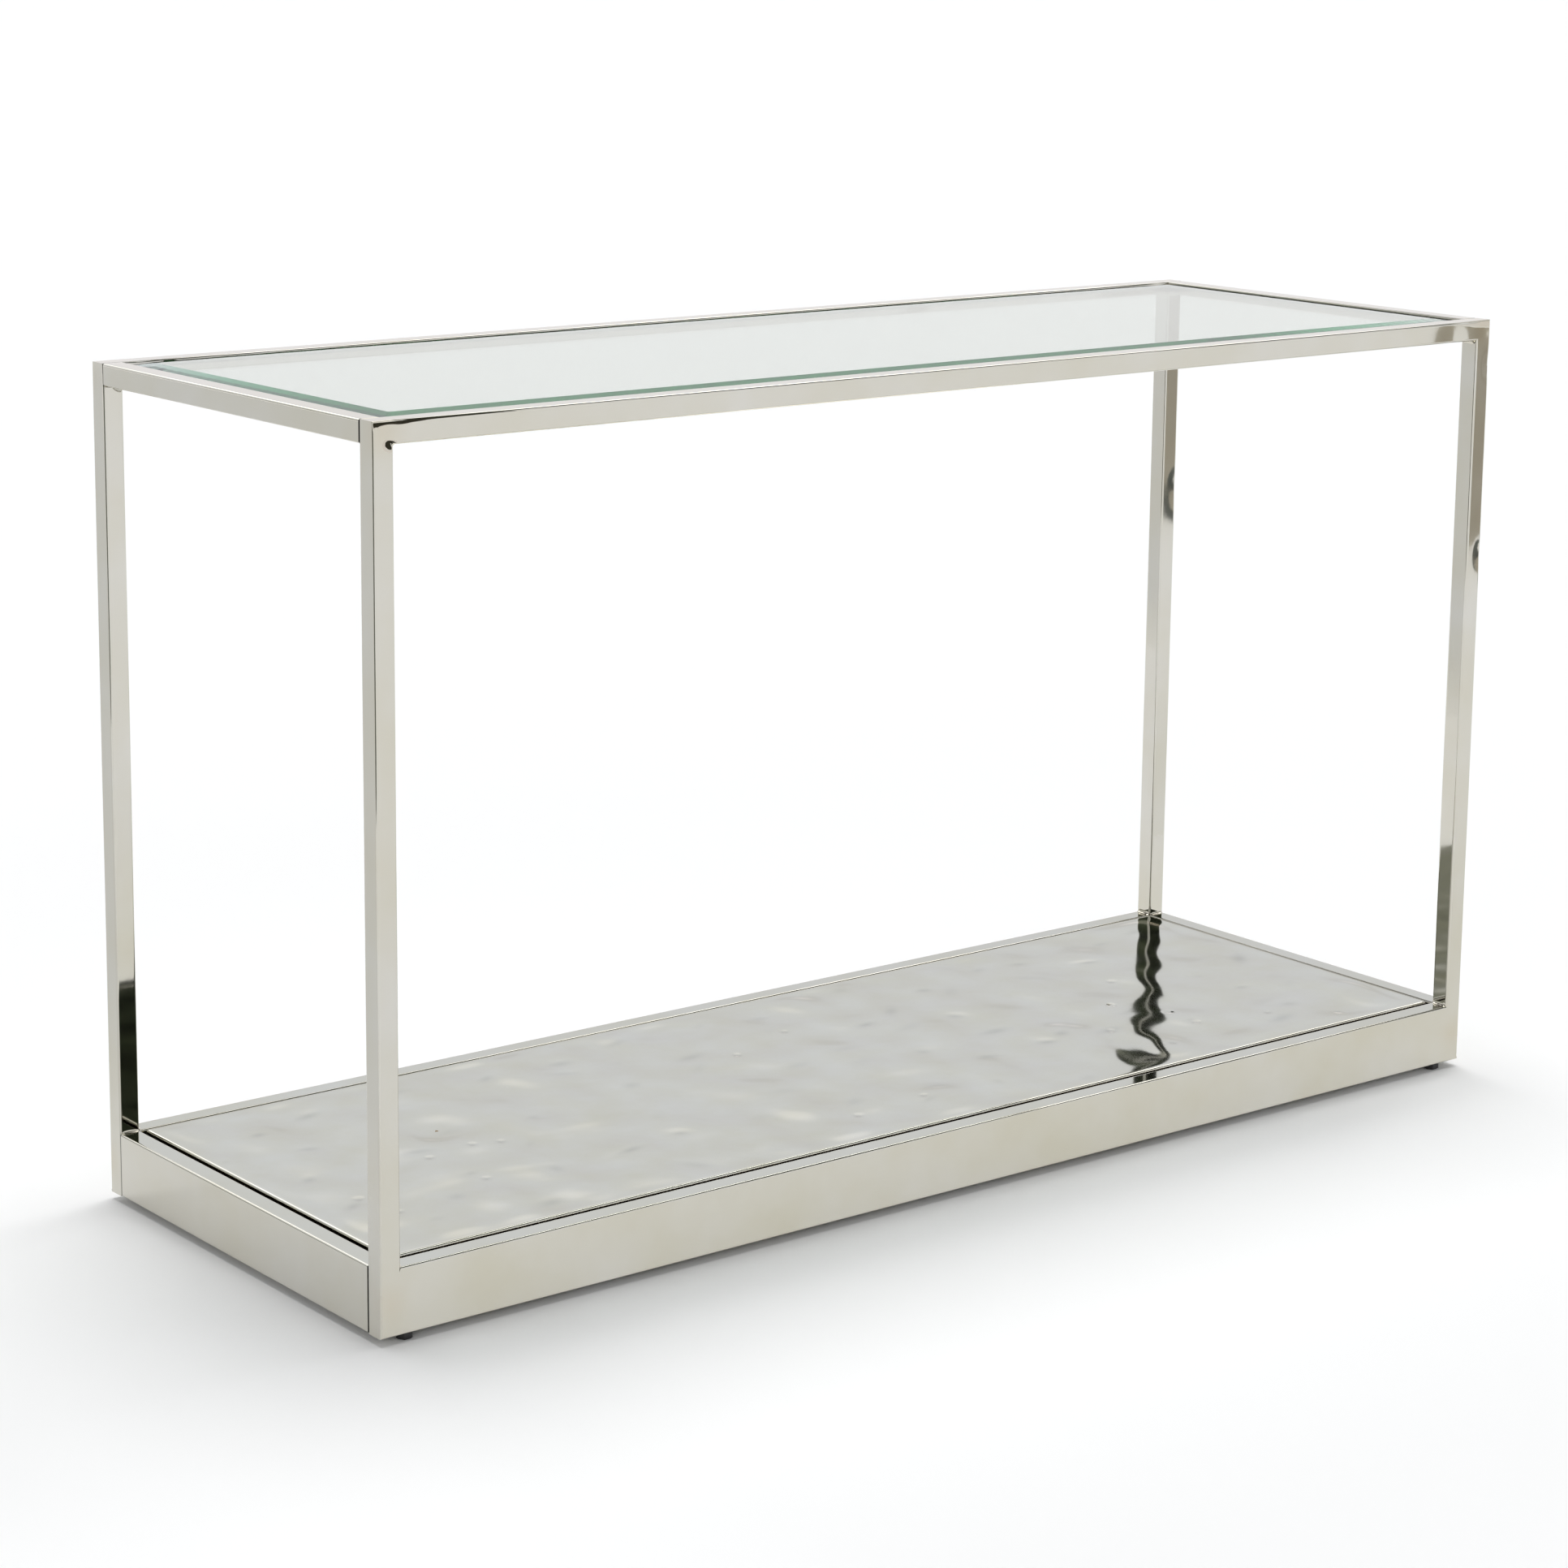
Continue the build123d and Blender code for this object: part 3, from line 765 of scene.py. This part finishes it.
PANE_CORNER, PANE_CORNER_STEPS = 1.2 * MM, 4
CREST_BELOW, CREST_PAST = 0.2 * MM, 0.3 * MM  # the soft crest where the bevel meets the field
THREAD_MAJOR, THREAD_MINOR = 4.0 * MM, 3.4 * MM  # radii of the foot's thread
STUD_AROUND, ROWS_PER_PITCH = 28, 8
HEAD_THICK, HEAD_EDGE, STUD_TIP = 1.8 * MM, 0.3 * MM, 1.0 * MM
KEY_HOLE, KEY_DEPTH = 2.0 * MM, 0.8 * MM
CREST_FLAT = 1.15  # above 1, so the thread has flat crests


def glass_pane(sizes, colours):
    """The pane: flat field, wide polished bevel, and small arrises along every edge."""
    low, high = node_box("glass_top")
    arris, width, drop = sizes.arris, sizes.bevel_width, sizes.bevel_drop
    slope = drop / width
    rings = (
        (arris, low[2]),
        (0.0, low[2] + arris),
        (0.0, high[2] - drop - arris * 0.6),
        (arris * 0.8, high[2] - drop + arris * 0.8 * slope),
        (width - CREST_BELOW, high[2] - CREST_BELOW * slope),
        (width + CREST_PAST, high[2]),
    )
    points = []
    for inset, z in rings:
        half = (high - low)[:2] / 2 - inset - PANE_CORNER
        for quarter, signs in enumerate(((1, 1), (-1, 1), (-1, -1), (1, -1))):
            for step in range(PANE_CORNER_STEPS + 1):
                angle = math.radians(90 * (quarter + step / PANE_CORNER_STEPS))
                arc = PANE_CORNER * np.array((math.cos(angle), math.sin(angle)))
                points.append((*(signs * half + arc), z))
    piece = new_piece(
        "bevelled_glass_pane", points, ring_faces(len(rings), 4 * (PANE_CORNER_STEPS + 1)),
        "clear_glass", "glass", colours, stands_for=["glass_top"], sharp=1.5,
    )
    face_outwards(piece)


def threaded_stud(node, body, sizes, colours):
    """A foot's stud: a rolled thread with a chamfered tip, above the disc head and its key hole."""
    low, high = node_box(node)
    centre = (low + high) / 2
    head = (high[0] - low[0]) / 2
    pitch = sizes.thread_pitch
    head_top = low[2] + HEAD_THICK
    rows = int((high[2] - head_top) / pitch * ROWS_PER_PITCH)
    rings = [
        (KEY_HOLE, low[2] + KEY_DEPTH), (KEY_HOLE, low[2]), (head - HEAD_EDGE, low[2]),
        (head, low[2] + HEAD_EDGE), (head, head_top - HEAD_EDGE), (head - HEAD_EDGE, head_top),
        (THREAD_MINOR, head_top),
    ]
    turns = np.arange(STUD_AROUND) / STUD_AROUND
    radii = [np.full(STUD_AROUND, radius) for radius, _ in rings]
    heights = [z for _, z in rings]
    for row in range(1, rows + 1):
        z = head_top + (high[2] - head_top) * row / rows
        tip = min(1.0, (high[2] - z) / STUD_TIP)
        wave = np.abs(((z / pitch - turns) % 1.0) * 2 - 1)
        crest = np.minimum(1.0, wave * CREST_FLAT) * tip
        radii.append(THREAD_MINOR + (THREAD_MAJOR - THREAD_MINOR) * crest)
        heights.append(z)
    radii, angles = np.concatenate(radii), np.tile(2 * math.pi * turns, len(heights))
    points = np.stack((
        centre[0] + radii * np.cos(angles), centre[1] + radii * np.sin(angles),
        np.repeat(heights, STUD_AROUND),
    ), axis=-1)
    piece = new_piece(
        f"{node}_threaded", points, ring_faces(len(heights), STUD_AROUND), "zinc_steel", body,
        colours, stands_for=[node], sharp=40.0,
    )
    face_outwards(piece)


def ease_edges(node, width, slot, colours):
    """Give a frame node its material and break its sharp edges by a small round, its width given
    in millimetres."""
    mesh_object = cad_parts[node]
    mesh_object.data.materials.clear()
    mesh_object.data.materials.append(finish_for(slot, colours))
    weld = mesh_object.modifiers.new("join", "WELD")
    weld.merge_threshold = 0.01 * MM
    bevel = mesh_object.modifiers.new("ease", "BEVEL")
    bevel.width, bevel.segments = width * MM, 2
    bevel.limit_method, bevel.angle_limit = "ANGLE", math.radians(40)
    bevel.harden_normals = True


# ---------------------------------------------------------------- operators


class TABLE_OT_legs(bpy.types.Operator):
    """Four polished legs, mitred to the top rails and to the deeper aprons"""

    bl_idname = "table.legs"
    bl_label = "Legs"

    def execute(self, context):
        sizes, colours = context.scene.table_sizes, context.scene.table_colours
        rail, apron = node_box("front_top_rail"), node_box("front_apron")
        for across in FACES:
            for name, side in SIDES.items():
                tube_member(
                    f"{across}_{name}_leg", 2, (0, side, apron[1][2] - apron[0][2]),
                    (0, side, rail[1][2] - rail[0][2]), sizes, colours,
                )
        return {"FINISHED"}


class TABLE_OT_rails(bpy.types.Operator):
    """Polished top rails and deep aprons, long ones mitred and side ones cut square"""

    bl_idname = "table.rails"
    bl_label = "Rails and aprons"

    def execute(self, context):
        sizes, colours = context.scene.table_sizes, context.scene.table_colours
        leg = node_box("front_left_leg")
        run = leg[1][0] - leg[0][0]
        for across in FACES:
            tube_member(f"{across}_top_rail", 0, (2, 1, run), (2, 1, run), sizes, colours)
            tube_member(f"{across}_apron", 0, (2, -1, run), (2, -1, run), sizes, colours)
        for name in SIDES:
            tube_member(f"{name}_top_rail", 1, None, None, sizes, colours)
            tube_member(f"{name}_apron", 1, None, None, sizes, colours)
        return {"FINISHED"}


class TABLE_OT_welds(bpy.types.Operator):
    """Dressed weld fillets inside the frame's corners"""

    bl_idname = "table.welds"
    bl_label = "Weld fillets"

    def execute(self, context):
        sizes, colours = context.scene.table_sizes, context.scene.table_colours
        rail_low, _ = node_box("front_top_rail")
        _, apron_high = node_box("front_apron")
        levels = {"top": (rail_low[2], -1), "foot": (apron_high[2], 1)}
        for across, side_y in FACES.items():
            for name, side_x in SIDES.items():
                low, high = node_box(f"{across}_{name}_leg")
                x = high[0] if side_x < 0 else low[0]
                y = high[1] if side_y < 0 else low[1]
                for level, (z, up) in levels.items():
                    corner_welds(
                        f"{across}_{name}_{level}_weld", (x, y, z), side_x, side_y, up, sizes, colours
                    )
        return {"FINISHED"}


class TABLE_OT_shelf(bpy.types.Operator):
    """The hammered sheet over the shelf board, with the board, ledges, bearers and screws"""

    bl_idname = "table.shelf"
    bl_label = "Shelf"

    def execute(self, context):
        sizes, colours = context.scene.table_sizes, context.scene.table_colours
        shelf_sheet(sizes, colours)
        ease_edges("shelf_core", 0.6, "shelf_board", colours)
        ease_edges("shelf_screws", 0.15, "zinc_steel", colours)
        for name in ("front", "rear", "left", "right"):
            ease_edges(f"{name}_shelf_ledge", 0.3, "ledge_steel", colours)
        for name in ("left", "middle", "right"):
            ease_edges(f"{name}_shelf_bearer", 0.3, "ledge_steel", colours)
        return {"FINISHED"}


class TABLE_OT_glass(bpy.types.Operator):
    """The bevelled glass pane, with the ledges and clear bumpers that it rests on"""

    bl_idname = "table.glass"
    bl_label = "Glass top"

    def execute(self, context):
        sizes, colours = context.scene.table_sizes, context.scene.table_colours
        glass_pane(sizes, colours)
        for name in ("front", "rear", "left", "right"):
            ease_edges(f"{name}_glass_ledge", 0.3, "ledge_steel", colours)
        ease_edges("glass_bumpers", 0.2, "clear_silicone", colours)
        return {"FINISHED"}


class TABLE_OT_feet(bpy.types.Operator):
    """Threaded studs, welded nuts and black hexagonal pads"""

    bl_idname = "table.feet"
    bl_label = "Feet"

    def execute(self, context):
        sizes, colours = context.scene.table_sizes, context.scene.table_colours
        for across in FACES:
            for name in SIDES:
                corner = f"{across}_{name}"
                ease_edges(f"{corner}_foot_pad", 0.4, "black_nylon", colours)
                ease_edges(f"{corner}_foot_nut", 0.3, "zinc_steel", colours)
                threaded_stud(f"{corner}_foot_stud", f"{corner}_stud", sizes, colours)
        return {"FINISHED"}


# Areas of the studio that the polished steel mirrors: middle direction, angle of the full
# area and of its soft border in degrees, two sRGB colours that it is mottled with, strength,
# and whether it shows only after two mirrorings.
STUDIO_AREAS = (
    ((0.60, -0.78, 0.24), 20.0, 30.0, "#141713", "#4E5846", 1.0, True),
    ((-0.62, 0.76, 0.22), 9.0, 14.0, "#8E928A", "#A9ADA3", 1.0, False),
    ((-0.60, 0.70, 0.27), 4.5, 6.5, "#1A1D19", "#4E5846", 1.0, True),
    ((0.60, -0.45, 0.66), 10.0, 15.0, "#43473F", "#6E7366", 1.0, False),
    ((0.61, 0.12, 0.79), 9.0, 14.0, "#FFFFFF", "#FFFFFF", 3.4, False),
    ((0.05, 0.78, 0.62), 8.0, 13.0, "#FFFFFF", "#FFFFFF", 2.6, False),
)
# Brightness of the room by height above the horizon, as the sine of its angle.
ROOM_LEVELS = (
    (0.00, (0.95, 0.93, 0.94)),
    (0.14, (0.95, 0.93, 0.94)),
    (0.19, (0.70, 0.71, 0.72)),
    (0.25, (0.80, 0.82, 0.85)),
    (0.34, (0.84, 0.87, 0.90)),
    (0.44, (1.06, 1.08, 1.10)),
    (0.50, (1.06, 1.08, 1.10)),
    (0.62, (0.30, 0.30, 0.30)),
    (0.70, (0.20, 0.20, 0.20)),
)
BACKDROP = (0.985, 0.985, 0.985)  # what is seen of the room directly, round the table
# Felt cards: start and end on the floor, heights in metres, and the two colours of each felt.
FLAGS = {
    "side_flag": ((-2.53, -0.56), (-1.47, -2.14), (0.02, 1.3), "#5A5E56", "#8A8C84"),
    "end_flag": ((2.785, -2.20), (3.115, -1.70), (0.06, 0.62), "#A79F90", "#CFCABF"),
    "low_end_flag": ((2.86, -2.09), (3.10, -1.71), (0.0, 0.07), "#3A3D3A", "#7A7E7C"),
    "corner_flag": ((-0.60, -0.497), (-0.42, -0.383), (0.785, 1.05), "#20231F", "#4E4B40"),
}
# Lit cards: places along x and along y with how solid the card is at each, and its brightness.
GLOW_CARDS = {
    "front_card": (
        ((-1.4, 0.0), (-0.9, 1.0), (1.6, 1.0), (2.2, 0.0)),
        ((-1.0, 0.0), (-0.5, 1.0), (-0.235, 0.75)), (0.93, 0.93, 0.90),
    ),
    "left_card": (
        ((-6.0, 0.0), (-5.0, 1.0), (-1.0, 1.0), (-0.662, 0.25)),
        ((-0.8, 0.0), (-0.3, 1.0), (5.5, 1.0), (6.5, 0.0)), (0.80, 0.81, 0.815),
    ),
}
CARD_LIFT = 2 * MM  # a lit card lies this far over the floor
FLOOR_REACH = 90.0


def studio_world(scene):
    """A soft bright room with a few darker and brighter areas for the steel to mirror."""
    world = bpy.data.worlds.new("studio")
    world.use_nodes = True
    tree = world.node_tree
    tree.nodes.clear()
    way = add_node(tree, "ShaderNodeTexCoord", out="Generated")
    height = add_node(tree, "ShaderNodeSeparateXYZ", {0: way}, "Z")
    room = add_node(tree, "ShaderNodeValToRGB", {0: height}, "Color")
    ramp = room.node.color_ramp
    ramp.interpolation = "EASE"
    for place, _ in ROOM_LEVELS[2:]:
        ramp.elements.new(place)
    for stop, (place, colour) in zip(ramp.elements, ROOM_LEVELS):
        stop.position, stop.color = place, opaque(colour)
    cloud = add_node(tree, "ShaderNodeTexNoise", {"Vector": way, "Scale": 1 / 0.13, "Detail": 3.0})
    blotch = add_node(tree, "ShaderNodeMapRange", {"Value": cloud, "To Min": -1.3, "To Max": 2.0})
    mirrorings = add_node(tree, "ShaderNodeLightPath", out="Glossy Depth")
    # The darkest areas show only after two mirrorings, so the shelf itself never turns dark.
    deep = add_node(tree, "ShaderNodeMath", {"operation": "GREATER_THAN", 0: mirrorings, 1: 1.5})
    for middle, full, border, first, second, strength, deep_only in STUDIO_AREAS:
        nearness = add_node(
            tree, "ShaderNodeVectorMath",
            {"operation": "DOT_PRODUCT", 0: way, 1: Vector(middle).normalized()}, "Value",
        )
        mask = add_node(
            tree, "ShaderNodeMapRange",
            {
                "interpolation_type": "SMOOTHSTEP", "Value": nearness,
                "From Min": math.cos(math.radians(border)),
                "From Max": math.cos(math.radians(full)),
            },
        )
        if deep_only:
            mask = add_node(tree, "ShaderNodeMath", {"operation": "MULTIPLY", 0: mask, 1: deep})
        dark, pale = (opaque([c * strength for c in hex_colour(code)]) for code in (first, second))
        mottled = add_node(
            tree, "ShaderNodeMix",
            {"data_type": "RGBA", 0: blotch, MIX_A: dark, MIX_B: pale}, MIX_OUT,
        )
        room = add_node(
            tree, "ShaderNodeMix",
            {"data_type": "RGBA", 0: mask, MIX_A: room, MIX_B: mottled}, MIX_OUT,
        )
    direct = mirrorings.node.outputs["Is Camera Ray"]
    shown = add_node(
        tree, "ShaderNodeMix",
        {"data_type": "RGBA", 0: direct, MIX_A: room, MIX_B: opaque(BACKDROP)}, MIX_OUT,
    )
    lit = add_node(tree, "ShaderNodeBackground", {"Strength": 1.0, "Color": shown})
    add_node(tree, "ShaderNodeOutputWorld", {"Surface": lit})
    scene.world = world


def overhead_light(strength, spread_angle, from_direction):
    """A very wide light from above: even over the whole floor, with soft, close shadows."""
    light = bpy.data.lights.new("overhead_light", "SUN")
    light.energy, light.angle = strength, math.radians(spread_angle)
    lamp = bpy.data.objects.new("overhead_light", light)
    lamp.rotation_euler = Vector(from_direction).to_track_quat("Z", "Y").to_euler()
    bpy.context.scene.collection.objects.link(lamp)


def card(name, points, faces, material):
    """A card that only the polished pieces mirror: it casts no shadow and isn't seen itself."""
    mesh = bpy.data.meshes.new(name)
    mesh.from_pydata(points, [], faces)
    mesh.materials.append(material)
    piece = bpy.data.objects.new(name, mesh)
    for ray in ("camera", "diffuse", "shadow", "transmission", "volume_scatter"):
        setattr(piece, f"visible_{ray}", False)
    bpy.context.scene.collection.objects.link(piece)
    return mesh


def felt(tree, coords, dark, pale):
    """Felt: quite matt, with cloudy patches 250 mm across."""
    cloud = add_node(
        tree, "ShaderNodeTexNoise", {"Vector": coords, "Scale": 1 / (250 * MM), "Detail": 3.0}
    )
    first, second = opaque(hex_colour(dark)), opaque(hex_colour(pale))
    tone = add_node(
        tree, "ShaderNodeMix", {"data_type": "RGBA", 0: cloud, MIX_A: first, MIX_B: second}, MIX_OUT
    )
    return {"Surface": add_node(tree, "ShaderNodeBsdfDiffuse", {"Color": tone})}


def glow(tree, _, level):
    """A lit diffuser that fades out where its painted solidity does."""
    solid = add_node(tree, "ShaderNodeAttribute", {"attribute_name": "solid"}, "Fac")
    lit = add_node(tree, "ShaderNodeEmission", {"Color": opaque(level), "Strength": 1.0})
    clear = add_node(tree, "ShaderNodeBsdfTransparent")
    return {"Surface": add_node(tree, "ShaderNodeMixShader", {0: solid, 1: clear, 2: lit})}


def flag(name, start, end, heights, dark, pale):
    """A standing felt card, from one place on the floor to another."""
    low, high = heights
    corners = [(*start, low), (*end, low), (*end, high), (*start, high)]
    card(name, corners, [(0, 1, 2, 3)], new_material("felt_" + name, felt, dark, pale))


def glow_card(name, x_places, y_places, level):
    """A lit card lying just over the floor. The places give how solid it is across each way."""
    points = [(x, y, CARD_LIFT) for x, _ in x_places for y, _ in y_places]
    material = new_material("glowing_" + name, glow, level)
    material.cycles.emission_sampling = "NONE"
    mesh = card(name, points, grid_faces(len(x_places), len(y_places)), material)
    solid = mesh.attributes.new("solid", "FLOAT", "POINT")
    solid.data.foreach_set("value", [across * out for _, across in x_places for _, out in y_places])


def aimed(yaw, pitch, roll):
    """A camera's rotation from its heading off +Y, its tilt down and its roll, in degrees."""
    yaw, pitch, roll = (math.radians(a) for a in (yaw, pitch, roll))
    ahead = Vector((
        math.sin(yaw) * math.cos(pitch), math.cos(yaw) * math.cos(pitch), -math.sin(pitch)
    ))
    level = Vector((math.cos(yaw), -math.sin(yaw), 0.0))
    upright = level.cross(ahead)
    across = level * math.cos(roll) + upright * math.sin(roll)
    upward = -level * math.sin(roll) + upright * math.cos(roll)
    return Matrix((across, upward, -ahead)).transposed().to_euler()


class TABLE_OT_stage(bpy.types.Operator):
    """Pale floor, soft studio light and the camera"""

    bl_idname = "table.stage"
    bl_label = "Stage"

    def execute(self, context):
        scene = context.scene
        mesh = bpy.data.meshes.new("studio_floor")
        corners = ((-1, -1), (1, -1), (1, 1), (-1, 1))
        mesh.from_pydata([(FLOOR_REACH * x, FLOOR_REACH * y, 0) for x, y in corners], [], [(0, 1, 2, 3)])
        mesh.materials.append(finish_for("floor", scene.table_colours))
        floor = bpy.data.objects.new("studio_floor", mesh)
        scene.collection.objects.link(floor)
        studio_world(scene)
        overhead_light(1.57, 32.0, (0.10, 0.14, 1.0))
        for name, details in FLAGS.items():
            flag(name, *details)
        for name, details in GLOW_CARDS.items():
            glow_card(name, *details)
        camera_data = bpy.data.cameras.new("product_camera")
        camera_data.sensor_width, camera_data.lens = 36.0, 88.6
        camera_data.shift_y = -0.1
        camera_data.clip_end = 400.0
        camera = bpy.data.objects.new("product_camera", camera_data)
        camera.location = (-2.289, -2.826, 1.210)
        camera.rotation_euler = aimed(38.31, 11.02, 0.62)
        scene.collection.objects.link(camera)
        scene.camera = camera
        scene.view_settings.view_transform = "Standard"
        # Light trapped in the pane crosses it many times before it leaves at an edge.
        scene.cycles.max_bounces = 80
        scene.cycles.glossy_bounces = 72
        return {"FINISHED"}


OPERATORS = (
    TABLE_OT_legs, TABLE_OT_rails, TABLE_OT_welds, TABLE_OT_shelf, TABLE_OT_glass,
    TABLE_OT_feet, TABLE_OT_stage,
)


class TABLE_PT_panel(bpy.types.Panel):
    """Sidebar panel with the table's sizes, colours and pieces"""

    bl_idname = "TABLE_PT_panel"
    bl_label = "Console Table"
    bl_space_type = "VIEW_3D"
    bl_region_type = "UI"
    bl_category = "Table"

    def draw(self, context):
        for group in (context.scene.table_sizes, context.scene.table_colours):
            box = self.layout.box()
            for name in group.__annotations__:
                box.prop(group, name)
        for operator in OPERATORS:
            self.layout.operator(operator.bl_idname)


CLASSES = (TableSizes, TableColours, *OPERATORS, TABLE_PT_panel)


def register():
    for cls in CLASSES:
        bpy.utils.register_class(cls)
    bpy.types.Scene.table_sizes = PointerProperty(type=TableSizes)
    bpy.types.Scene.table_colours = PointerProperty(type=TableColours)


def unregister():
    del bpy.types.Scene.table_colours
    del bpy.types.Scene.table_sizes
    for cls in reversed(CLASSES):
        bpy.utils.unregister_class(cls)


def main():
    register()
    bpy.ops.table.legs()
    bpy.ops.table.rails()
    bpy.ops.table.welds()
    bpy.ops.table.shelf()
    bpy.ops.table.glass()
    bpy.ops.table.feet()
    bpy.ops.table.stage()


if __name__ == "__main__":
    main()
